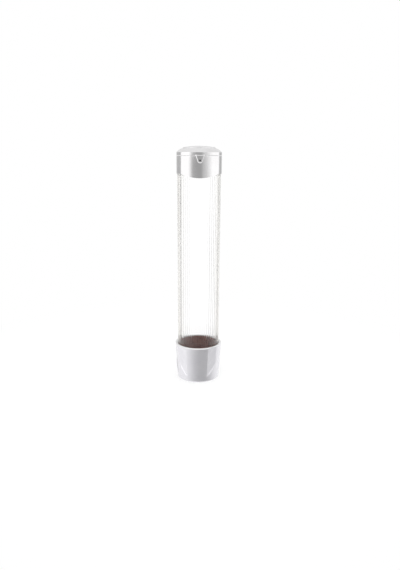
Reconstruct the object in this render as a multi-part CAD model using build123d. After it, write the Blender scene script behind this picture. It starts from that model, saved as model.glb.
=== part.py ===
from build123d import *
import math
import os

# Wall-hung cup dispenser: a clear ribbed tube that holds a stack of cups, a hinged lid on a ring at
# the top, and a flared collar at the bottom that hides the release carrier with its four sprung pawls.
# Millimetres, +Z up, front at -Y, wall at +Y. The origin is on the tube's axis, in the plane of the
# collar's bottom edge, where the cups come out.

# Clearances that several pieces share
body_gap = 0.3
seat_gap = 0.2
pin_gap = 0.05
press_gap = 0.02
overrun = 1.0

# Cup that the dispenser is made for. The bore that the cups pass, the spigot round it and the clear
# tube round the spigot all follow from its rim.
cup_rim_r = 36.5
cup_clearance = 1.5
throat_r = cup_rim_r + cup_clearance
spigot_step = 1.0
spigot_wall = 1.35
spigot_r = throat_r + spigot_step + spigot_wall

# Clear tube with ribs on its inside
tube_wall = 2.0
tube_length = 392.0
rib_count = 54
rib_depth = 0.35
rib_width = 2.6
tube_bore_r = spigot_r + body_gap + rib_depth
tube_r = tube_bore_r + tube_wall
socket_r = tube_r + seat_gap

# Release carrier, from the collar's seat up to the flange that the tube stands on
carrier_seat_z = 34.0
carrier_drop = 20.0
sleeve_wall = 1.2
foot_height = 2.5
flange_height = 3.0
spigot_stop = 0.5
carrier_r = socket_r - body_gap
flange_z = carrier_seat_z + carrier_drop
tube_z = flange_z + flange_height

# Collar
socket_depth = 18.0
collar_top_wall = 5.1
collar_foot_wall = 4.0
collar_foot_radius = 3.0
collar_lip_radius = 1.2
collar_lip_bevel = 0.5
outlet_clearance = 1.5
outlet_height = 6.0
seat_width = 1.7
outlet_r = throat_r + outlet_clearance
chamber_r = socket_r - seat_width
collar_top_r = socket_r + collar_top_wall
collar_foot_r = outlet_r + collar_foot_wall
collar_height = tube_z + socket_depth
spigot_top_z = collar_height - spigot_stop

# Leaf-shaped scoops in the collar's outside, in columns of rows that lean outwards as they rise. Each
# has a gentle side towards the plain front panel and a steep one away from it.
scoop_depth = 1.15
scoop_steep_run = 2.1
scoop_gentle_run = 14.0
scoop_lift = 3.0
scoop_radius = 1.0
scoop_lean = 51.0
scoop_turn = -5.0
scoop_columns = (36.0, 73.5, 111.0)
scoop_low_margin = 19.0
scoop_high_margin = 12.0
scoop_rows = 3

# Pawls, their pins and their windows in the carrier
pawl_count = 4
pawl_first_angle = 45.0
pawl_width = 11.4
pawl_gap = 0.3
pivot_drop = 8.0
pivot_inset = 2.1
barrel_r = 1.7
toe_hold = 3.0
toe_height = 1.8
toe_slope = 2.0
toe_radius = 0.5
heel_width = 8.0
heel_height = 3.6
heel_reach = 0.75
heel_depth = 0.5
stop_band = 0.8
stop_band_height = 3.2
lug_width = 3.0
lug_below = 5.0
window_roof = 2.5
pawl_pin_r = 1.0
pivot_r = carrier_r - pivot_inset
pivot_z = flange_z - pivot_drop
toe_r = cup_rim_r - toe_hold
stop_r = carrier_r - stop_band
window_width = pawl_width + 2 * pawl_gap
lug_span = window_width + 2 * lug_width

# Torsion springs of the pawls
wire_r = 0.25
coil_r = 1.5
coil_pitch = 1.0
coil_turns = 3.25
leg_gap = 0.05
leg_stop = 0.3
leg_tip_share = 0.58
spring_room = 0.3
spring_notch_width = 4.8

# Ring at the tube's top
ring_wall = 1.4
ring_skirt = 26.6
ring_front_drop = 7.4
ring_front_arc_r = 91.0
ring_ledge = 2.0
ring_ledge_reach = 2.4
ring_neck = 5.55
ring_neck_wall = 2.0
ring_edge_radius = 0.8
ring_r = socket_r + ring_wall
tube_top_z = tube_z + tube_length
ring_top_z = tube_top_z + ring_ledge + ring_neck
ring_low_z = tube_top_z - ring_skirt

# Lid
lid_wall = 2.0
lid_skirt = 6.0
shoulder_rise = 6.4
shoulder_run = 7.8
shoulder_mid_run_share = 0.385
shoulder_mid_rise_share = 0.477
bezel_rise = 1.6
deck_drop = 1.4
lid_edge_radius = 0.8
lid_z = ring_top_z + body_gap
shoulder_z = lid_z + lid_skirt
crown_z = shoulder_z + shoulder_rise
bezel_z = crown_z + bezel_rise
deck_z = bezel_z - deck_drop - press_gap
lid_r = ring_r

# Domed disc let into the lid
inlay_r = 32.0
inlay_rim = 1.8
inlay_edge = 2.8
inlay_dome = 2.95
inlay_edge_radius = 1.6
inlay_wall = 1.8
inlay_gap = 0.25

# Tongue at the lid's front, and the stud that its hole snaps over
tongue_width = 18.0
tongue_drop = 15.4
tongue_tip_r = 6.2
tongue_proud = 1.1
tongue_bevel = 45.0
tongue_root = 2.0
stud_drop = 8.9
stud_r = 1.5
stud_dome = 0.45
stud_hole_gap = 0.2

# Lid hinge
hinge_out = 1.4
hinge_rise = 5.3
knuckle_r = 2.8
hinge_pin_r = 1.5
knuckle_half = 6.9
hinge_half = 15.0
pin_end = 0.2
arm_drop = 6.0
hinge_y = ring_r + hinge_out
hinge_z = lid_z + hinge_rise

# Radial screws through the ring and through the collar, at both rear quarters
screw_angle = 123.0
screw_r = 1.3
screw_hole_gap = 0.2
screw_head_r = 2.8
screw_head_height = 1.5
screw_drive_r = 0.9
screw_drive_depth = 0.9
collar_screw_rise = 8.0
counterbore_depth = 1.0
screw_tip_gap = 0.1

# Wall brackets with T heads, the slotted blocks that hang on them, and their adhesive pads
pad_height = 1.0
plate_side = 8.0
plate_height = 34.0
plate_depth = 3.0
plate_corner_r = 4.0
screw_spacing = 40.0
wall_hole_r = 2.25
pad_hole_gap = 2.25
head_width = 16.0
head_depth = 3.0
head_height = 17.7
neck_width = 8.0
neck_depth = 4.5
block_front = 1.2
block_side = 3.7
block_roof = 4.0
block_corner_r = 1.5
ring_block_rise = 1.6
plate_width = screw_spacing + 2 * plate_side
head_front_y = collar_top_r + block_front
head_back_y = head_front_y + head_depth
plate_front_y = head_back_y + neck_depth
wall_y = plate_front_y + plate_depth + pad_height
block_back_y = plate_front_y - body_gap
block_width = head_width + 2 * body_gap + 2 * block_side
lower_head_z = carrier_seat_z + body_gap
upper_head_z = ring_low_z + ring_block_rise + body_gap


def turned(outline):
    """Solid of revolution about the tube's axis, from an outline of radius and height."""
    return revolve(Plane.XZ * make_face(outline), Axis.Z)


def sleeve(outer, inner, low, high):
    """Plain ring between two radii and two heights."""
    corners = [(inner, low), (outer, low), (outer, high), (inner, high)]
    return turned(Polyline(*corners, close=True))


def block(x_low, x_high, y_low, y_high, z_low, z_high):
    """Box given by its six faces."""
    size = (x_high - x_low, y_high - y_low, z_high - z_low)
    middle = ((x_low + x_high) / 2, (y_low + y_high) / 2, (z_low + z_high) / 2)
    return Pos(*middle) * Box(*size)


def radial(angle, distance, height):
    """Plane on a radius, its normal pointing outwards. The angle counts from the front."""
    turn = math.radians(angle - 90)
    outward = Vector(math.cos(turn), math.sin(turn), 0)
    return Plane(origin=outward * distance + Vector(0, 0, height), z_dir=outward, x_dir=(0, 0, 1))


def radial_rod(angle, radius, inner, outer, height):
    """Round bar along a radius, between two distances from the axis."""
    middle = (inner + outer) / 2
    return radial(angle, middle, height) * Cylinder(radius, outer - inner)


def collar_surface_r(z):
    """Outer radius of the collar at a height."""
    return collar_foot_r + (collar_top_r - collar_foot_r) * z / collar_height


def scoop(angle, side, z):
    """Ridge-shaped bar that dips into the collar along a leaning line and cuts one leaf-shaped scoop."""
    turn = math.radians(side * angle + scoop_turn - 90)
    outward = Vector(math.cos(turn), math.sin(turn), 0)
    around = Vector(-math.sin(turn), math.cos(turn), 0) * side
    flare = (collar_top_r - collar_foot_r) / collar_height
    upward = (Vector(0, 0, 1) + outward * flare).normalized()
    lean = math.radians(scoop_lean)
    along = around * math.cos(lean) + upward * math.sin(lean)
    across = around * math.sin(lean) - upward * math.cos(lean)
    centre = outward * collar_surface_r(z) + Vector(0, 0, z)
    reach = (scoop_depth + scoop_lift) / scoop_depth
    middle = scoop_steep_run / 2
    ridge = make_face(
        Polyline(
            (scoop_steep_run * reach - middle, scoop_lift),
            (-middle, -scoop_depth),
            (-middle - scoop_gentle_run * reach, scoop_lift),
            close=True,
        )
    )
    keel = ridge.vertices().sort_by(Axis.Y)[0]
    frame = Plane(origin=centre, x_dir=across, z_dir=across.cross(outward))
    if frame.y_dir.dot(outward) < 0:
        raise ValueError("the ridge points away from the collar")
    return extrude(frame * fillet(keel, scoop_radius), collar_height / 2, both=True)


def scoops():
    """All scoops: the same columns on both sides of the plain front panel."""
    step = (collar_height - scoop_low_margin - scoop_high_margin) / (scoop_rows - 1)
    cutters = []
    for side in (-1, 1):
        for angle in scoop_columns:
            for row in range(scoop_rows):
                cutters.append(scoop(angle, side, scoop_low_margin + row * step))
    return cutters


def slot_block(inner_y, head_z):
    """Block behind a ring with a T slot, open at its bottom and back and closed at its top."""
    low = head_z - body_gap
    high = head_z + head_height + body_gap + block_roof
    body = block(-block_width / 2, block_width / 2, inner_y, block_back_y, low, high)
    rear = body.edges().filter_by(Axis.Z).group_by(Axis.Y)[-1]
    return fillet(rear, block_corner_r)


def head_slot(head_z):
    """Room for a bracket's T head and neck, with clearance on every side."""
    low = head_z - body_gap - overrun
    high = head_z + head_height + body_gap
    half_head = head_width / 2 + body_gap
    half_neck = neck_width / 2 + body_gap
    head = block(-half_head, half_head, head_front_y - body_gap, head_back_y + body_gap, low, high)
    neck = block(-half_neck, half_neck, head_back_y, block_back_y + overrun, low, high)
    return head + neck


def collar_shell():
    """Flared outside, socket for tube and carrier, seat for the carrier, chamber and outlet."""
    flare_z = outlet_height + chamber_r - outlet_r
    outline = Polyline(
        (collar_foot_r, 0),
        (collar_top_r, collar_height),
        (socket_r, collar_height),
        (socket_r, carrier_seat_z),
        (chamber_r, carrier_seat_z),
        (chamber_r, flare_z),
        (outlet_r, outlet_height),
        (outlet_r, 0),
        close=True,
    )
    face = make_face(outline)
    foot = face.vertices().sort_by_distance((collar_foot_r, 0))[0]
    face = fillet(foot, collar_foot_radius)
    lip = face.vertices().sort_by_distance((collar_top_r, collar_height))[0]
    face = fillet(lip, collar_lip_radius)
    mouth = face.vertices().sort_by_distance((socket_r, collar_height))[0]
    face = chamfer(mouth, collar_lip_bevel)
    return revolve(Plane.XZ * face, Axis.Z)


def screw_angles():
    """Both rear quarters, counted from the front."""
    return (-screw_angle, screw_angle)


def collar_screw_seat_r():
    """Distance of the collar's counterbore floors from the axis."""
    return collar_surface_r(collar_screw_z()) - counterbore_depth


def collar_screw_z():
    """Height of the collar's screws."""
    return tube_z + collar_screw_rise


def collar():
    """Collar with its scoops, its slotted block and its screw holes."""
    shell = collar_shell() - scoops()
    hanger = slot_block(collar_foot_r, lower_head_z)
    bore = Pos(0, 0, carrier_seat_z) * Cylinder(
        socket_r, collar_height, align=(Align.CENTER, Align.CENTER, Align.MIN)
    )
    body = shell + (hanger - bore) - head_slot(lower_head_z)
    seat = collar_screw_seat_r()
    for angle in screw_angles():
        body -= radial_rod(angle, screw_head_r + body_gap, seat, collar_top_r + overrun, collar_screw_z())
        body -= radial_rod(angle, screw_r + screw_hole_gap, chamber_r, collar_top_r, collar_screw_z())
    return body


def tube():
    """Clear tube: round outside, ribs with round noses inside, and screw holes near both ends."""
    pitch = 2 * math.pi / rib_count
    half = rib_width / 2 / tube_bore_r
    nose_r = tube_bore_r - rib_depth

    def at(radius, angle):
        return (radius * math.cos(angle), radius * math.sin(angle))

    inside = []
    for n in range(rib_count):
        rib = n * pitch
        gap = rib + pitch / 2
        end = rib + pitch - half
        low = at(tube_bore_r, rib - half)
        high = at(tube_bore_r, rib + half)
        inside.append(ThreePointArc(low, at(nose_r, rib), high))
        inside.append(ThreePointArc(high, at(tube_bore_r, gap), at(tube_bore_r, end)))
    section = Circle(tube_r) - make_face(inside)
    body = Pos(0, 0, tube_z) * extrude(section, tube_length)
    for angle in screw_angles():
        body -= radial_rod(angle, screw_r + press_gap, spigot_r, ring_r, ring_screw_z())
        body -= radial_rod(angle, screw_r + press_gap, spigot_r, ring_r, collar_screw_z())
    return body


def pawl_angles():
    """Directions of the pawls, counted from +X."""
    return [pawl_first_angle + n * 360 / pawl_count for n in range(pawl_count)]


def pawl_places():
    """Turns that carry one pawl's pieces from +X to each place."""
    return [Rot(0, 0, angle) for angle in pawl_angles()]


def pawl_window():
    """Opening in the carrier for one pawl, with the stop band left above and the spring's notch."""
    half = window_width / 2
    low = carrier_seat_z + foot_height
    high = flange_z - window_roof
    band_z = high - stop_band_height
    inner = toe_r
    outer = socket_r + overrun
    lower = block(inner, outer, -half, half, low, band_z)
    upper = block(inner, outer, -half, half, low, high)
    upper &= Pos(0, 0, low) * Cylinder(stop_r, high, align=(Align.CENTER, Align.CENTER, Align.MIN))
    notch_half = spring_notch_width / 2
    notch_u = pivot_r + coil_r - wire_r - leg_gap
    notch = block(notch_u, outer, -notch_half, notch_half, band_z, flange_z)
    return lower + upper + notch


def release_carrier():
    """Sleeve with foot and flange, a spigot up into the tube, and lugs at each pawl's window."""
    sleeve_r = throat_r + sleeve_wall
    foot_z = carrier_seat_z + foot_height
    body = sleeve(sleeve_r, throat_r, carrier_seat_z, tube_z)
    body += sleeve(carrier_r, throat_r, carrier_seat_z, foot_z)
    body += sleeve(carrier_r, throat_r, flange_z, tube_z)
    body += sleeve(spigot_r, spigot_r - spigot_wall, flange_z, spigot_top_z)
    lugs = sleeve(carrier_r, throat_r, pivot_z - lug_below, flange_z)
    pin_half = lug_span / 2 + overrun
    for place in pawl_places():
        body += lugs & (place * block(0, socket_r, -lug_span / 2, lug_span / 2, carrier_seat_z, tube_z))
    for place in pawl_places():
        hole = Pos(pivot_r, 0, pivot_z) * Rot(90, 0, 0) * Cylinder(pawl_pin_r + pin_gap, 2 * pin_half)
        body -= place * pawl_window()
        body -= place * hole
    for angle in screw_angles():
        tip = spigot_r - spigot_wall - overrun
        body -= radial_rod(angle, screw_r + press_gap, tip, spigot_r + overrun, collar_screw_z())
    return body


def upright(face, width):
    """Extrude an outline of radius and height to both sides of the radial plane."""
    return extrude(Plane.XZ * face, width / 2, both=True)


def cup_pawl():
    """One pawl at +X: arm with rounded toe, heel that meets the stop, barrel cut for the spring."""
    top = pivot_z + barrel_r
    under = pivot_z - coil_r + wire_r + leg_gap
    arm = make_face(
        Polyline(
            (pivot_r, top),
            (toe_r, top),
            (toe_r, top - toe_height),
            (toe_r + toe_slope, under),
            (pivot_r, under),
            close=True,
        )
    )
    tips = arm.vertices().group_by(Axis.X)[0]
    arm = fillet(tips, toe_radius)
    barrel = Pos(pivot_r, pivot_z) * Circle(barrel_r)
    heel_outer = pivot_r + heel_reach
    heel_inner = pivot_r - heel_depth
    heel_top = pivot_z + heel_height
    heel = make_face(
        Polyline(
            (heel_inner, pivot_z),
            (heel_outer, pivot_z),
            (heel_outer, heel_top),
            (heel_inner, heel_top),
            close=True,
        )
    )
    body = upright(arm + barrel, pawl_width) + upright(heel, heel_width)
    room_r = coil_r + wire_r + spring_room
    axis = Pos(pivot_r, 0, pivot_z) * Rot(90, 0, 0)
    body -= axis * Cylinder(room_r, spring_notch_width)
    body -= axis * Cylinder(pawl_pin_r + pin_gap, pawl_width + overrun)
    notch_half = spring_notch_width / 2
    body -= block(pivot_r, socket_r, -notch_half, notch_half, pivot_z, pivot_z + heel_height + overrun)
    return body


def pawl_pin():
    """Pivot pin of one pawl, as long as the two lugs and what lies between them."""
    return Pos(pivot_r, 0, pivot_z) * Rot(90, 0, 0) * Cylinder(pawl_pin_r, lug_span - 2 * pawl_gap)


def biarc(start, start_way, end, end_way):
    """Two arcs that join two points and keep a given direction at both."""
    chord = end - start
    ways = start_way + end_way
    spread = 2 * (1 - start_way.dot(end_way))
    reach = (-chord.dot(ways) + math.sqrt(chord.dot(ways) ** 2 + spread * chord.dot(chord))) / spread
    middle = (start + end + (start_way - end_way) * reach) / 2
    first = (middle - start).normalized()
    middle_way = first * (2 * first.dot(start_way)) - start_way
    return [
        Edge.make_tangent_arc(start, start_way, middle),
        Edge.make_tangent_arc(middle, middle_way, end),
    ]


def coil_point(turn):
    """Point of the spring's coil after a number of turns, seen from its first leg."""
    angle = -2 * math.pi * turn
    side = (turn - coil_turns / 2) * coil_pitch
    return Vector(pivot_r + coil_r * math.cos(angle), side, pivot_z + coil_r * math.sin(angle))


def coil_way(turn):
    """Direction of the wire after a number of turns. The ends run square to the pin."""
    angle = -2 * math.pi * turn
    rise = coil_pitch / (2 * math.pi * coil_r)
    if turn in (0, coil_turns):
        rise = 0
    return Vector(math.sin(angle), rise, -math.cos(angle)).normalized()


def pawl_spring():
    """Torsion spring round one pin: a leg up beside the carrier, the coil, a leg under the arm."""
    steps = [n / 4 for n in range(int(4 * coil_turns) + 1)]
    start = coil_point(0)
    end = coil_point(coil_turns)
    leg_top = Vector(start.X, start.Y, flange_z - leg_stop)
    leg_tip = Vector(end.X - leg_tip_share * (pivot_r - toe_r), end.Y, end.Z)
    edges = [Edge.make_line(leg_top, start)]
    for before, after in zip(steps, steps[1:]):
        edges += biarc(coil_point(before), coil_way(before), coil_point(after), coil_way(after))
    edges.append(Edge.make_line(end, leg_tip))
    section = Plane(origin=leg_top, z_dir=(0, 0, -1)) * Circle(wire_r)
    return sweep(section, path=Wire(edges))


def coil_gap():
    """Least distance between neighbouring turns of the coil, measured on points."""
    steps = [n / 24 for n in range(int(24 * coil_turns) + 1)]
    points = [coil_point(step) for step in steps]
    apart = [
        (a - b).length
        for a, first in zip(points, steps)
        for b, second in zip(points, steps)
        if second - first > 0.5
    ]
    return min(apart) - 2 * wire_r


def ring_screw_z():
    """Height of the ring's screws."""
    return tube_top_z - ring_skirt / 2


def ring_lower_cut():
    """What the ring's lower edge leaves away: level at the back, an arc that dips at the front."""
    reach = ring_r + overrun
    front_z = ring_low_z - ring_front_drop
    slab = block(-reach, reach, -reach, reach, front_z - overrun, ring_low_z)
    arc = Pos(0, -reach / 2, front_z + ring_front_arc_r) * Rot(90, 0, 0)
    return slab - arc * Cylinder(ring_front_arc_r, reach)


def hinge_rod(radius, x_low, x_high):
    """Round bar on the lid's hinge axis."""
    middle = (x_low + x_high) / 2
    return Pos(middle, hinge_y, hinge_z) * Rot(0, 90, 0) * Cylinder(radius, x_high - x_low)


def ring_knuckles():
    """The two outer knuckles on their arms."""
    body = Part()
    gap_x = knuckle_half + body_gap
    for low, high in ((gap_x, hinge_half), (-hinge_half, -gap_x)):
        arm = block(low, high, hinge_y - knuckle_r, hinge_y + knuckle_r, ring_top_z - arm_drop, hinge_z)
        body += arm + hinge_rod(knuckle_r, low, high)
    return body


def ring_shell():
    """Wall round the tube, ledge on the tube's end, and neck up to the lid."""
    ledge_r = tube_r - ring_ledge_reach
    neck_r = ring_r - ring_neck_wall
    front_z = ring_low_z - ring_front_drop
    face = make_face(
        Polyline(
            (socket_r, front_z),
            (ring_r, front_z),
            (ring_r, ring_top_z),
            (neck_r, ring_top_z),
            (neck_r, tube_top_z + ring_ledge),
            (ledge_r, tube_top_z + ring_ledge),
            (ledge_r, tube_top_z),
            (socket_r, tube_top_z),
            close=True,
        )
    )
    edge = face.vertices().sort_by_distance((ring_r, ring_top_z))[0]
    return revolve(Plane.XZ * fillet(edge, ring_edge_radius), Axis.Z)


def cap_ring():
    """Ring with its hinge knuckles, its slotted block, and holes for stud, pin and screws."""
    body = ring_shell() - ring_lower_cut()
    extras = ring_knuckles() + slot_block(tube_r, upper_head_z)
    inside = Pos(0, 0, tube_top_z) * Cylinder(ring_r - ring_neck_wall, ring_top_z)
    bore = Cylinder(socket_r, tube_top_z, align=(Align.CENTER, Align.CENTER, Align.MIN))
    body += extras - inside - bore
    body -= head_slot(upper_head_z)
    body -= hinge_rod(hinge_pin_r + press_gap, -hinge_half - overrun, hinge_half + overrun)
    body -= radial_rod(0, stud_r + press_gap, tube_r, ring_r + overrun, stud_z())
    for angle in screw_angles():
        body -= radial_rod(angle, screw_r + screw_hole_gap, tube_bore_r, ring_r + overrun, ring_screw_z())
    return body


def stud_z():
    """Height of the snap stud at the front."""
    return lid_z - stud_drop


def lid_shell():
    """Skirt, rounded shoulder, bezel round the inlay, and a flat deck under it."""
    crown_r = lid_r - shoulder_run
    bezel_r = inlay_r + inlay_gap
    under_z = deck_z - lid_wall
    skirt_r = lid_r - lid_wall
    middle_r = lid_r - shoulder_mid_run_share * shoulder_run
    middle_z = shoulder_z + shoulder_mid_rise_share * shoulder_rise
    shoulder = ThreePointArc((lid_r, shoulder_z), (middle_r, middle_z), (crown_r, crown_z))
    rest = Polyline(
        (crown_r, crown_z),
        (bezel_r, bezel_z),
        (bezel_r, deck_z),
        (0, deck_z),
        (0, under_z),
        (crown_r, under_z),
        (skirt_r, shoulder_z),
        (skirt_r, lid_z),
        (lid_r, lid_z),
        (lid_r, shoulder_z),
    )
    face = make_face(shoulder + rest)
    edge = face.vertices().sort_by_distance((lid_r, lid_z))[0]
    return revolve(Plane.XZ * fillet(edge, lid_edge_radius), Axis.Z)


def tongue():
    """Bevelled tongue that hangs from the lid's front edge, with the hole for the stud."""
    tip_z = lid_z - tongue_drop + tongue_tip_r
    root_z = lid_z + tongue_root
    half = tongue_width / 2
    outline = make_hull(
        (
            Pos(0, tip_z) * Circle(tongue_tip_r).edge()
            + Polyline((-half, lid_z), (-half, root_z), (half, root_z), (half, lid_z))
        ).edges()
    )
    outer = ring_r + body_gap + tongue_proud
    start = Plane(origin=(0, -ring_r + tongue_proud, 0), x_dir=(1, 0, 0), z_dir=(0, -1, 0))
    body = extrude(start * outline, outer - ring_r + tongue_proud, taper=tongue_bevel)
    body &= Pos(0, 0, lid_z) * Cylinder(outer, 3 * tongue_drop)
    body -= Cylinder(ring_r + body_gap, lid_z, align=(Align.CENTER, Align.CENTER, Align.MIN))
    body -= Cylinder(lid_r - lid_wall, 2 * lid_z)
    return body - radial_rod(0, stud_r + stud_hole_gap, ring_r - overrun, outer + overrun, stud_z())


def lid():
    """Lid with its tongue and its middle knuckle, cut clear of the ring's knuckles."""
    body = lid_shell()
    inner_y = lid_r - lid_wall
    web = block(-knuckle_half, knuckle_half, inner_y, hinge_y, hinge_z - knuckle_r, hinge_z + knuckle_r / 2)
    inside = Pos(0, 0, lid_z) * Cylinder(lid_r - lid_wall, 2 * (deck_z - lid_z))
    body += (web - inside) + hinge_rod(knuckle_r, -knuckle_half, knuckle_half)
    clear_r = knuckle_r + body_gap
    for low, high in ((knuckle_half, hinge_half + body_gap), (-hinge_half - body_gap, -knuckle_half)):
        body -= hinge_rod(clear_r, low, high)
        body -= block(low, high, hinge_y - clear_r, hinge_y + clear_r, lid_z - overrun, hinge_z)
    body -= hinge_rod(hinge_pin_r + pin_gap, -knuckle_half - overrun, knuckle_half + overrun)
    return body + tongue()


def lid_inlay():
    """Domed shell with a rounded edge that stands on the deck by its rim."""
    edge_z = deck_z + press_gap + inlay_edge
    crest_z = edge_z + inlay_dome
    rim_r = inlay_r - inlay_rim
    low_z = deck_z + press_gap
    middle_r = inlay_r / 2
    bow_r = (inlay_r ** 2 + inlay_dome ** 2) / (2 * inlay_dome)
    hollow_rise = crest_z - inlay_wall - low_z
    hollow_bow_r = (rim_r ** 2 + hollow_rise ** 2) / (2 * hollow_rise)
    top_middle = (middle_r, crest_z - bow_r + math.sqrt(bow_r ** 2 - middle_r ** 2))
    low_middle_r = rim_r / 2
    hollow_z = low_z + hollow_rise - hollow_bow_r + math.sqrt(hollow_bow_r ** 2 - low_middle_r ** 2)
    outline = (
        ThreePointArc((0, crest_z), top_middle, (inlay_r, edge_z))
        + Polyline((inlay_r, edge_z), (inlay_r, low_z), (rim_r, low_z))
        + ThreePointArc((rim_r, low_z), (low_middle_r, hollow_z), (0, crest_z - inlay_wall))
        + Line((0, crest_z - inlay_wall), (0, crest_z))
    )
    face = make_face(outline)
    edge = face.vertices().sort_by_distance((inlay_r, edge_z))[0]
    return revolve(Plane.XZ * fillet(edge, inlay_edge_radius), Axis.Z)


def lid_hinge_pin():
    """Pin through the three knuckles."""
    return hinge_rod(hinge_pin_r, -hinge_half + pin_end, hinge_half - pin_end)


def catch_stud():
    """Plug in the ring's front wall with a low dome that the tongue's hole drops over."""
    bow_r = (stud_r ** 2 + stud_dome ** 2) / (2 * stud_dome)
    plug = radial_rod(0, stud_r, tube_r + seat_gap, ring_r + stud_dome, stud_z())
    return plug & (radial(0, ring_r + stud_dome - bow_r, stud_z()) * Sphere(bow_r))


def radial_screw(angle, seat, tip, height):
    """Pan-head screw on a radius: shank, low head with rounded edge, and a round drive recess."""
    shank = radial_rod(angle, screw_r, tip, seat, height)
    head = radial_rod(angle, screw_head_r, seat, seat + screw_head_height, height)
    top = head.edges().filter_by(GeomType.CIRCLE)
    way = radial(angle, seat, height).z_dir
    outer = top.sort_by(lambda edge: edge.center().dot(way))[-1]
    head = fillet(outer, screw_head_height / 2)
    drive_low = seat + screw_head_height - screw_drive_depth
    drive = radial_rod(angle, screw_drive_r, drive_low, seat + screw_head_height + overrun, height)
    return shank + head - drive


def ring_screws():
    """The two screws that hold the ring to the tube."""
    tip = tube_bore_r + screw_tip_gap
    return [radial_screw(angle, ring_r, tip, ring_screw_z()) for angle in screw_angles()]


def collar_screws():
    """The two screws that hold collar, tube and carrier together."""
    tip = spigot_r - spigot_wall + screw_tip_gap
    seat = collar_screw_seat_r()
    return [radial_screw(angle, seat, tip, collar_screw_z()) for angle in screw_angles()]


def plate_heights(head_z):
    """Lower and upper edge of a bracket's plate, centred on its T head."""
    middle = head_z + head_height / 2
    return middle - plate_height / 2, middle + plate_height / 2


def wall_bracket(head_z):
    """Plate with two screw holes, and the T head that carries the dispenser."""
    low, high = plate_heights(head_z)
    back = wall_y - pad_height
    plate = block(-plate_width / 2, plate_width / 2, plate_front_y, back, low, high)
    plate = fillet(plate.edges().filter_by(Axis.Y), plate_corner_r)
    top = head_z + head_height
    neck = block(-neck_width / 2, neck_width / 2, head_back_y, plate_front_y, head_z, top)
    head = block(-head_width / 2, head_width / 2, head_front_y, head_back_y, head_z, top)
    body = plate + neck + head
    for x in (-screw_spacing / 2, screw_spacing / 2):
        hole = Pos(x, back, (low + high) / 2) * Rot(90, 0, 0)
        body -= hole * Cylinder(wall_hole_r, 2 * (plate_depth + overrun))
    return body


def tape_pad(head_z):
    """Adhesive pad behind a bracket's plate, with room round the wall screws."""
    low, high = plate_heights(head_z)
    half = plate_width / 2
    pad = block(-half, half, wall_y - pad_height, wall_y, low, high)
    pad = fillet(pad.edges().filter_by(Axis.Y), plate_corner_r)
    for x in (-screw_spacing / 2, screw_spacing / 2):
        hole = Pos(x, wall_y, (low + high) / 2) * Rot(90, 0, 0)
        pad -= hole * Cylinder(wall_hole_r + pad_hole_gap, 2 * (pad_height + overrun))
    return pad


def write(name, shape):
    """Write one node. A group of separate solids goes in as one compound."""
    if isinstance(shape, list):
        shape = Compound(children=shape)
    export_step(shape, "parts/" + name + ".step")
    print(name, round(shape.volume), "mm3")


os.makedirs("parts", exist_ok=True)
write("lid", lid())
write("lid_inlay", lid_inlay())
write("lid_hinge_pin", lid_hinge_pin())
write("cap_ring", cap_ring())
write("catch_stud", catch_stud())
write("ring_screws", ring_screws())
write("tube", tube())
write("collar", collar())
write("collar_screws", collar_screws())
write("release_carrier", release_carrier())
for number, place in enumerate(pawl_places(), start=1):
    write(f"cup_pawl_{number}", place * cup_pawl())
    write(f"pawl_pin_{number}", place * pawl_pin())
    write(f"pawl_spring_{number}", place * pawl_spring())
write("upper_wall_bracket", wall_bracket(upper_head_z))
write("lower_wall_bracket", wall_bracket(lower_head_z))
write("upper_tape_pad", tape_pad(upper_head_z))
write("lower_tape_pad", tape_pad(lower_head_z))
print("least gap between the spring's turns", round(coil_gap(), 3), "mm")
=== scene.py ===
import math
import bpy
from mathutils import Matrix, Vector


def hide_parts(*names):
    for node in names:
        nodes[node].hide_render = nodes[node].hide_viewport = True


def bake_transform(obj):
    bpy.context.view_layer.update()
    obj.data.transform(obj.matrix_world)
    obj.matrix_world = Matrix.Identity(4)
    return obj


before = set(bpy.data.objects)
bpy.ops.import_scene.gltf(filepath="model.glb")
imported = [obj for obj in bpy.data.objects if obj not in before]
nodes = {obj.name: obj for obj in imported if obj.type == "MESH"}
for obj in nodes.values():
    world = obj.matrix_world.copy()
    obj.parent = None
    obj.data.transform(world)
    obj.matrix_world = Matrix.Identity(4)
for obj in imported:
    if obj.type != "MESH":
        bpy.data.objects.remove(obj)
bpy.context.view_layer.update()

# Looks of a wall-hung cup dispenser: clear ribbed tube, silver lid and ring, pale collar over a
# brown carrier with sprung pawls. Metres, in the frame's axes: front at -Y, wall at +Y, +Z up.

# Camera, in metres and degrees, with the photograph's frame in pixels
picture_width = 400
picture_height = 570
focal_px = 539.0
axis_column_px = 198.45
camera_distance = 1.080
camera_height = 0.4567
camera_azimuth = -2.3
camera_pitch = 13.5
camera_roll = 0.33
sensor_width = 36.0

# Studio: the surroundings' brightness by direction, 1 is white. Azimuths count from the front, in
# degrees. The ring and the lid mirror what is level with the object, the collar what lies lower.
front_level = 0.37
band_level = 1.08
left_band = (-106.0, -44.5)
left_band_edges = (6.0, 30.0)
right_band = (49.5, 117.5)
right_band_edges = (55.0, 8.0)
right_front_level = 0.55
right_front_azimuth = (6.0, 23.0)
side_back_level = 0.48
side_back_azimuth = (100.0, 112.0)
back_level = 0.78
back_azimuth = (144.0, 158.0)
top_level = 0.80
top_elevation = (9.0, 20.0)
belt_level = 1.7
belt_elevation = (2.0, 5.0)
belt_azimuth = (16.0, 30.0)
belt_end_azimuth = (84.0, 68.0)
low_elevation = (-4.0, -13.0)
low_front_level = 0.26
low_side_level = 1.05
low_back_level = 1.05
low_back_azimuth = (100.0, 140.0)
low_front_azimuth = 21.0
low_front_spread = (8.0, 108.0)
bottom_level = 1.2
bottom_elevation = (-40.0, -52.0)

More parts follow.
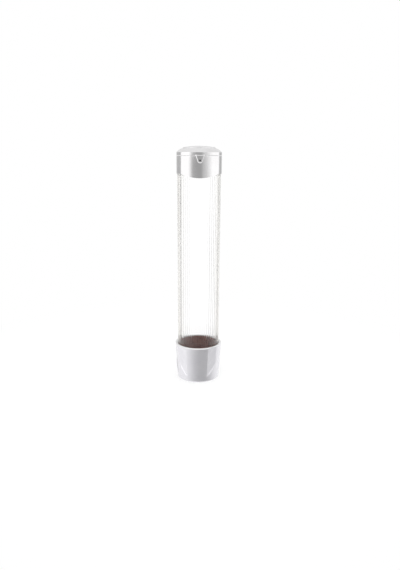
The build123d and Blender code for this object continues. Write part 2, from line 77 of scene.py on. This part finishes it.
# What the camera sees through clear plastic: its brightness, and how often a ray may turn back in
# the plastic's wall on its way
through_level = 1.07
wall_turns = 4.0

# Floor: metres and shares
floor_radius = 0.62
floor_shadow_radius = 0.30
floor_shadow_share = 0.45
floor_colour = (0.72, 0.72, 0.72, 1.0)
floor_lit = 0.62
floor_sides = 96
white = (1.0, 1.0, 1.0, 1.0)

# Relief of the finest grain and of the steel's drawn marks, in metres, and their noise's detail
grain_height = 0.0001
mark_height = 0.00005
grain_detail = 2.0

# Clear plastic: tint and gloss of its edges, partly its own tint and partly painted shade on its
# edges and rib flanks, and the streaks that drawing leaves along it
edge_shade_tint = (0.96, 0.93, 0.87, 1.0)
edge_shade_blend = 0.35
edge_shade_range = (0.10, 0.80)
clear_ior = 1.46
streak_scale = 60.0
streak_detail = 2.0
streak_roughness = 0.5
streak_stretch = (6.0, 6.0, 0.15)
streak_rough = 0.02
streak_bump = 0.006
streak_height = 0.0004

# Collar: satin plastic, and the heights in metres between which its moulded lip turns paler, a
# painted highlight along its rim
collar_dark = (0.83, 0.82, 0.86, 1.0)
collar_light = (0.88, 0.87, 0.905, 1.0)
collar_cloud_scale = 24.0
collar_cloud_range = (0.35, 0.65)
collar_cloud_rough = 0.06
collar_grain_scale = 1400.0
collar_grain_rough = 0.03
collar_roughness = 0.17
collar_metallic = 0.6
collar_coat = 0.25
collar_coat_roughness = 0.12
collar_bump = 0.06
# Lip: a painted highlight, paler and less metallic than the rest of the collar
lip_highlight_colour = (0.95, 0.95, 0.95, 1.0)
lip_highlight_metallic = 0.1
lip_highlight_height = (0.0738, 0.0745)

# Foam tape: closed cells
foam_dark = (0.66, 0.66, 0.64, 1.0)
foam_light = (0.84, 0.84, 0.82, 1.0)
foam_roughness = 0.80
cell_scale = 2200.0
cell_range = (0.1, 0.7)
cell_rough = 0.12
cell_bump = 0.5
cell_height = 0.0002

# Lamps: size, place and aim in metres, and the brightness that each adds to a surface that faces it
lamp_aim = (0.0, 0.0, 0.24)
key_size = 0.9
key_place = (-0.5, -0.9, 1.5)
key_level = 0.12
top_size = 0.8
top_place = (0.1, 0.1, 1.6)
top_level_added = 0.20

# Pawls: the angle in degrees of each one's place from +X. A spring's copy is merged within
# spring_merge metres, and is smooth where its faces meet at less than spring_smooth degrees.
pawl_places = {1: 45.0, 2: 135.0, 3: 225.0, 4: 315.0}
spring_merge = 0.000001
spring_smooth = 40.0


class Value:
    """A number that changes over a surface. Python arithmetic on it adds Math nodes."""

    def __init__(self, shader, socket):
        self.shader = shader
        self.socket = socket

    def maths(self, operation, *others):
        made = self.shader.node("ShaderNodeMath", {"operation": operation}, [self, *others])
        return Value(self.shader, made.outputs[0])

    def __add__(self, other):
        return self.maths("ADD", other)

    def __sub__(self, other):
        return self.maths("SUBTRACT", other)

    def __rsub__(self, other):
        return self.maths("MULTIPLY_ADD", -1.0, other)

    def __mul__(self, other):
        return self.maths("MULTIPLY", other)

    def __truediv__(self, other):
        return self.maths("DIVIDE", other)

    def __pow__(self, other):
        return self.maths("POWER", other)

    __radd__ = __add__
    __rmul__ = __mul__

    def at_most(self, other):
        return self.maths("MINIMUM", other)

    def at_least(self, other):
        return self.maths("MAXIMUM", other)

    def rise(self, low, high):
        """0 below low, 1 above high, smooth between them. With high under low it falls instead."""
        settings = {"interpolation_type": "SMOOTHSTEP"}
        inputs = {"Value": self, "From Min": low, "From Max": high}
        made = self.shader.node("ShaderNodeMapRange", settings, inputs)
        return Value(self.shader, made.outputs["Result"])


class Shader:
    """The nodes of one material, or of the world."""

    def __init__(self, tree):
        self.tree = tree
        tree.nodes.clear()

    def node(self, kind, settings=None, inputs=None):
        """A node with its settings, then its sockets' values or links, by name or in order."""
        made = self.tree.nodes.new(kind)
        for name, value in (settings or {}).items():
            setattr(made, name, value)
        pairs = inputs.items() if isinstance(inputs, dict) else enumerate(inputs or [])
        for key, value in pairs:
            if isinstance(value, Value):
                value = value.socket
            if isinstance(value, bpy.types.NodeSocket):
                self.tree.links.new(value, made.inputs[key])
            else:
                made.inputs[key].default_value = value
        return made

    def value(self, kind, output, settings=None, inputs=None):
        """One output of a new node, as a value."""
        return Value(self, self.node(kind, settings, inputs).outputs[output])

    def mix(self, first, second, share):
        """Colour from first, at share 0, to second, at share 1."""
        settings = {"data_type": "RGBA"}
        return self.node("ShaderNodeMix", settings, {0: share, 6: first, 7: second}).outputs[2]

    def mix_surfaces(self, first, second, share):
        """Shader from first, at share 0, to second, at share 1."""
        return self.node("ShaderNodeMixShader", None, {0: share, 1: first, 2: second}).outputs[0]

    def place(self, scale=(1.0, 1.0, 1.0)):
        """Object coordinates, stretched by scale."""
        inputs = {"Vector": self.node("ShaderNodeTexCoord").outputs["Object"], "Scale": scale}
        return self.node("ShaderNodeMapping", None, inputs).outputs["Vector"]

    def noise(self, scale, detail=3.0, roughness=0.55, stretch=(1.0, 1.0, 1.0)):
        """Soft noise from 0 to 1, its grain 1 / scale metres."""
        inputs = {
            "Vector": self.place(stretch),
            "Scale": scale,
            "Detail": detail,
            "Roughness": roughness,
        }
        return self.value("ShaderNodeTexNoise", "Fac", None, inputs)

    def bump(self, height, strength, distance, normal=None):
        """Normal of a surface that height raises by up to distance metres."""
        inputs = {"Height": height, "Strength": strength, "Distance": distance}
        if normal is not None:
            inputs["Normal"] = normal
        return self.node("ShaderNodeBump", None, inputs).outputs["Normal"]


def finish(name):
    """New material, its shader, and a Principled BSDF that is already on its output."""
    material = bpy.data.materials.new(name)
    material.use_nodes = True
    shader = Shader(material.node_tree)
    output = shader.node("ShaderNodeOutputMaterial")
    surface = shader.node("ShaderNodeBsdfPrincipled")
    shader.tree.links.new(surface.outputs["BSDF"], output.inputs["Surface"])
    return material, shader, surface


def dress(surface, shader, **inputs):
    """Sets or links the surface's sockets, each named in words with underscores for spaces."""
    for word, value in inputs.items():
        socket = surface.inputs[word.replace("_", " ")]
        if isinstance(value, Value):
            value = value.socket
        if isinstance(value, bpy.types.NodeSocket):
            shader.tree.links.new(value, socket)
        else:
            socket.default_value = value


def clouded_finish(
    name, colours, cloud_scale, roughness, cloud_range=None, cloud_rough=0.0,
    grain_scale=None, grain_rough=0.0, bump=0.0, bump_distance=grain_height, **constants,
):
    """Surface whose colour follows a soft cloud, and whose relief follows a fine grain, if any.

    Its roughness is the given one, plus cloud_rough and grain_rough times the cloud and the grain.
    """
    material, shader, surface = finish(name)
    cloud = shader.noise(cloud_scale)
    share = cloud.rise(*cloud_range) if cloud_range else cloud
    rough = cloud * cloud_rough + roughness
    if grain_scale:
        grain = shader.noise(grain_scale, grain_detail)
        rough = rough + grain * grain_rough
        constants["Normal"] = shader.bump(grain, bump, bump_distance)
    dress(surface, shader, Base_Color=shader.mix(*colours, share), Roughness=rough, **constants)
    return material


def silver_finish():
    """Bright silver plating on plastic, with a faint ripple and a little haze."""
    return clouded_finish(
        "silver_plating",
        colours=((0.91, 0.90, 0.905, 1.0), (0.96, 0.955, 0.96, 1.0)),
        cloud_scale=38.0,
        cloud_range=(0.3, 0.7),
        roughness=0.11,
        cloud_rough=0.05,
        grain_scale=900.0,
        grain_rough=0.02,
        bump=0.05,
        Metallic=1.0,
    )


def clear_finish():
    """Clear extruded plastic: tinted where it is seen edge on, partly its own tint and partly
    painted shade on its edges and rib flanks, with drawn streaks along it.
    """
    material, shader, surface = finish("clear_plastic")
    edge = shader.value("ShaderNodeLayerWeight", "Facing", None, {"Blend": edge_shade_blend})
    streak = shader.noise(streak_scale, streak_detail, streak_roughness, streak_stretch)
    dress(
        surface, shader,
        # The tint where it is seen edge on is partly the plastic's own tint and partly painted
        # shade, darkening its edges and rib flanks.
        Base_Color=shader.mix(white, edge_shade_tint, edge.rise(*edge_shade_range)),
        Roughness=streak * streak_rough,
        Transmission_Weight=1.0,
        IOR=clear_ior,
        Normal=shader.bump(streak, streak_bump, streak_height),
    )
    return material


def collar_finish():
    """Pale silver-grey satin plastic with a fine moulded grain, and a plainer lip painted paler as
    a highlight along its rim.
    """
    material, shader, surface = finish("collar_satin")
    cloud = shader.noise(collar_cloud_scale)
    grain = shader.noise(collar_grain_scale, grain_detail)
    colour = shader.mix(collar_dark, collar_light, cloud.rise(*collar_cloud_range))
    height = shader.value("ShaderNodeSeparateXYZ", "Z", None, {0: shader.place()})
    # The paler, less metallic top of the lip is a painted highlight along the rim.
    lip_highlight = height.rise(*lip_highlight_height)
    dress(
        surface, shader,
        Base_Color=shader.mix(colour, lip_highlight_colour, lip_highlight),
        Metallic=collar_metallic - lip_highlight * (collar_metallic - lip_highlight_metallic),
        Roughness=cloud * collar_cloud_rough + grain * collar_grain_rough + collar_roughness,
        Coat_Weight=collar_coat,
        Coat_Roughness=collar_coat_roughness,
        Normal=shader.bump(grain, collar_bump, grain_height),
    )
    return material


def brown_finish():
    """Dark brown moulded plastic with a soft sheen, lighter in soft patches."""
    return clouded_finish(
        "brown_moulding",
        colours=((0.23, 0.100, 0.074, 1.0), (0.30, 0.132, 0.100, 1.0)),
        cloud_scale=46.0,
        cloud_range=(0.3, 0.7),
        roughness=0.42,
        cloud_rough=0.10,
        grain_scale=1100.0,
        bump=0.08,
        Specular_IOR_Level=0.2,
    )


def pawl_finish():
    """The pawls' own darker, smoother brown."""
    return clouded_finish(
        "pawl_moulding",
        colours=((0.075, 0.042, 0.035, 1.0), (0.105, 0.060, 0.050, 1.0)),
        cloud_scale=160.0,
        roughness=0.30,
        cloud_rough=0.12,
        grain_scale=1500.0,
        bump=0.06,
    )


def stud_finish():
    """Near-black glossy plastic, faintly clouded."""
    return clouded_finish(
        "stud_black",
        colours=((0.012, 0.012, 0.013, 1.0), (0.030, 0.030, 0.032, 1.0)),
        cloud_scale=700.0,
        roughness=0.16,
        cloud_rough=0.10,
    )


def steel_finish():
    """Bright drawn steel with fine marks."""
    return clouded_finish(
        "drawn_steel",
        colours=((0.52, 0.51, 0.50, 1.0), (0.66, 0.65, 0.64, 1.0)),
        cloud_scale=420.0,
        roughness=0.24,
        grain_scale=2600.0,
        grain_rough=0.14,
        bump=0.10,
        bump_distance=mark_height,
        Metallic=1.0,
    )


def bracket_finish():
    """Pale grey moulded plastic with a fine spark-eroded grain."""
    return clouded_finish(
        "bracket_moulding",
        colours=((0.66, 0.66, 0.65, 1.0), (0.74, 0.74, 0.73, 1.0)),
        cloud_scale=30.0,
        cloud_range=(0.3, 0.7),
        roughness=0.46,
        grain_scale=1300.0,
        grain_rough=0.12,
        bump=0.20,
    )


def foam_finish():
    """White closed-cell foam tape."""
    material, shader, surface = finish("foam_tape")
    inputs = {"Vector": shader.place(), "Scale": cell_scale}
    cells = shader.value("ShaderNodeTexVoronoi", "Distance", None, inputs)
    dress(
        surface, shader,
        Base_Color=shader.mix(foam_dark, foam_light, cells.rise(*cell_range)),
        Roughness=cells * cell_rough + foam_roughness,
        Normal=shader.bump(cells, cell_bump, cell_height),
    )
    return material


def wear(material, *names):
    """Gives CAD nodes a finish."""
    for name in names:
        for holder in nodes[name].material_slots:
            holder.material = material


def twisting_spring(number, material):
    """One pawl's spring: a merged, smooth-shaded copy of its solid's own shape, in the solid's
    place.

    One leg stays on the carrier and the other goes with the pawl.
    """
    bpy.ops.object.select_all(action="DESELECT")
    shape = nodes[f"pawl_spring_{number}"].data.copy()
    spring = bpy.data.objects.new(f"twisting_spring_{number}", shape)
    bpy.context.scene.collection.objects.link(spring)
    bpy.context.view_layer.objects.active = spring
    spring.select_set(True)
    bpy.ops.object.mode_set(mode="EDIT")
    bpy.ops.mesh.select_all(action="SELECT")
    bpy.ops.mesh.remove_doubles(threshold=spring_merge)
    bpy.ops.object.mode_set(mode="OBJECT")
    bpy.ops.mesh.customdata_custom_splitnormals_clear()
    bpy.ops.object.shade_smooth_by_angle(angle=math.radians(spring_smooth))
    spring.select_set(False)
    for holder in spring.material_slots:
        holder.material = material
    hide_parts(f"pawl_spring_{number}")
    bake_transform(spring)


def band(azimuth, ends, edges):
    """1 between two azimuths and 0 outside, with a soft edge of its own width at each."""
    start = azimuth.rise(ends[0] - edges[0] / 2, ends[0] + edges[0] / 2)
    return start * azimuth.rise(ends[1] + edges[1] / 2, ends[1] - edges[1] / 2)


def seen_directly(shader):
    """1 for the camera, also through clear plastic, and 0 for what lights or mirrors in the object.

    A ray may turn back a few times inside the plastic's wall and still count as seen through it.
    """
    path = shader.node("ShaderNodeLightPath")
    camera = Value(shader, path.outputs["Is Camera Ray"])
    through = Value(shader, path.outputs["Transmission Depth"]).at_most(1.0)
    mirrored = (Value(shader, path.outputs["Glossy Depth"]) - through * wall_turns).at_least(0.0)
    turned_back = Value(shader, path.outputs["Diffuse Depth"]) + mirrored
    return camera.at_least(through * (1.0 - turned_back.at_most(1.0)))


def seen_level(shader):
    """White for the camera, and a little more behind clear plastic, which takes some away."""
    path = shader.node("ShaderNodeLightPath")
    through = Value(shader, path.outputs["Transmission Depth"]).at_most(1.0)
    return 1.0 + through * (through_level - 1.0)


def surroundings(shader):
    """Brightness of the studio by direction: darker in front, bright bands at both sides."""
    way = shader.node("ShaderNodeTexCoord").outputs["Generated"]
    parts = shader.node("ShaderNodeSeparateXYZ", None, {0: way})
    across = Value(shader, parts.outputs["X"])
    along = Value(shader, parts.outputs["Y"])
    up = Value(shader, parts.outputs["Z"])
    azimuth = across.maths("ARCTAN2", -1.0 * along).maths("DEGREES")
    elevation = up.maths("ARCSINE").maths("DEGREES")
    left = band(azimuth, left_band, left_band_edges)
    right = band(azimuth, right_band, right_band_edges)
    turned = azimuth.maths("ABSOLUTE")
    level = front_level + azimuth.rise(*right_front_azimuth) * (right_front_level - front_level)
    level = level + turned.rise(*side_back_azimuth) * (side_back_level - level)
    level = level + turned.rise(*back_azimuth) * (back_level - side_back_level)
    level = level + (band_level - level) * left.at_least(right)
    belt = elevation.rise(*belt_elevation)
    belt = belt * turned.rise(*belt_azimuth) * turned.rise(*belt_end_azimuth)
    level = level + (belt_level - level) * belt
    level = level + (top_level - level) * elevation.rise(*top_elevation)
    from_front = (azimuth - low_front_azimuth).maths("ABSOLUTE")
    low = low_front_level + from_front.rise(*low_front_spread) * (low_side_level - low_front_level)
    low = low + turned.rise(*low_back_azimuth) * (low_back_level - low_side_level)
    low = low + (bottom_level - low) * elevation.rise(*bottom_elevation)
    return level + (low - level) * elevation.rise(*low_elevation)


def make_world():
    """White for the camera and through clear plastic, and the studio for everything else."""
    world = bpy.data.worlds.new("studio")
    world.use_nodes = True
    bpy.context.scene.world = world
    shader = Shader(world.node_tree)
    level = surroundings(shader)
    strength = level + (seen_level(shader) - level) * seen_directly(shader)
    background = shader.node("ShaderNodeBackground", None, {"Color": white, "Strength": strength})
    shader.node("ShaderNodeOutputWorld", None, {"Surface": background.outputs[0]})


def make_floor():
    """Round pale floor that keeps the object's shadow, white at its edge, and clear from below."""
    bpy.ops.object.select_all(action="DESELECT")
    bpy.ops.mesh.primitive_circle_add(vertices=floor_sides, radius=floor_radius, fill_type="NGON")
    floor = bpy.context.object
    floor.name = "studio_floor"
    material = bpy.data.materials.new("pale_floor")
    material.use_nodes = True
    shader = Shader(material.node_tree)
    seen = seen_directly(shader)
    mirrored = shader.value("ShaderNodeLightPath", "Is Glossy Ray") * (1.0 - seen)
    length = {"operation": "LENGTH"}
    from_axis = shader.value("ShaderNodeVectorMath", "Value", length, {0: shader.place()})
    edge = from_axis.rise(floor_shadow_radius, floor_radius)
    keeps_light = shader.node("ShaderNodeBsdfDiffuse", None, {"Color": floor_colour}).outputs[0]
    share = (1.0 - floor_shadow_share) + floor_shadow_share * edge
    strength = (1.0 - (1.0 - share) * floor_lit) / share * seen_level(shader)
    inputs = {"Color": white, "Strength": strength}
    glow = shader.node("ShaderNodeEmission", None, inputs).outputs[0]
    plain = shader.mix_surfaces(keeps_light, glow, share * seen)
    under = shader.value("ShaderNodeNewGeometry", "Backfacing")
    clear = shader.node("ShaderNodeBsdfTransparent").outputs[0]
    both = shader.mix_surfaces(plain, clear, under.at_least(mirrored))
    shader.node("ShaderNodeOutputMaterial", None, {"Surface": both})
    floor.data.materials.append(material)


def softbox(name, place, aim, size, level):
    """Square lamp that adds the given brightness to a white surface at the aim that faces it."""
    lamp = bpy.data.lights.new(name, "AREA")
    lamp.shape = "SQUARE"
    lamp.size = size
    away = Vector(aim) - Vector(place)
    lamp.energy = level * math.pi * math.pi * away.length_squared
    box = bpy.data.objects.new(name, lamp)
    box.location = place
    box.rotation_euler = away.to_track_quat("-Z", "Y").to_euler()
    box.visible_camera = False
    box.visible_glossy = False
    bpy.context.scene.collection.objects.link(box)


def make_camera():
    """Camera at the photograph's angle, its axis column where the photograph has the object."""
    camera = bpy.data.cameras.new("camera")
    camera.sensor_width = sensor_width
    camera.lens = focal_px / picture_height * sensor_width
    holder = bpy.data.objects.new("camera", camera)
    azimuth = math.radians(camera_azimuth)
    aside = math.atan((picture_width / 2 - axis_column_px) / focal_px)
    holder.location = (
        math.sin(azimuth) * camera_distance,
        -math.cos(azimuth) * camera_distance,
        camera_height,
    )
    heading = Matrix.Rotation(azimuth - aside, 3, "Z")
    tilt = Matrix.Rotation(math.radians(90.0 - camera_pitch), 3, "X")
    roll = Matrix.Rotation(math.radians(camera_roll), 3, "Z")
    holder.rotation_euler = (heading @ tilt @ roll).to_euler()
    bpy.context.scene.collection.objects.link(holder)
    bpy.context.scene.camera = holder


bpy.context.scene.view_settings.view_transform = "Standard"
make_camera()
make_world()
make_floor()
softbox("key_softbox", key_place, lamp_aim, key_size, key_level)
softbox("top_softbox", top_place, lamp_aim, top_size, top_level_added)

wear(silver_finish(), "lid", "lid_inlay", "cap_ring")
wear(clear_finish(), "tube")
wear(collar_finish(), "collar")
wear(brown_finish(), "release_carrier")
wear(pawl_finish(), *[f"cup_pawl_{n}" for n in pawl_places])
wear(stud_finish(), "catch_stud")
steel = steel_finish()
wear(steel, "lid_hinge_pin", "ring_screws", "collar_screws")
wear(steel, *[f"pawl_pin_{n}" for n in pawl_places])
for n in pawl_places:
    twisting_spring(n, steel)
wear(bracket_finish(), "upper_wall_bracket", "lower_wall_bracket")
wear(foam_finish(), "upper_tape_pad", "lower_tape_pad")
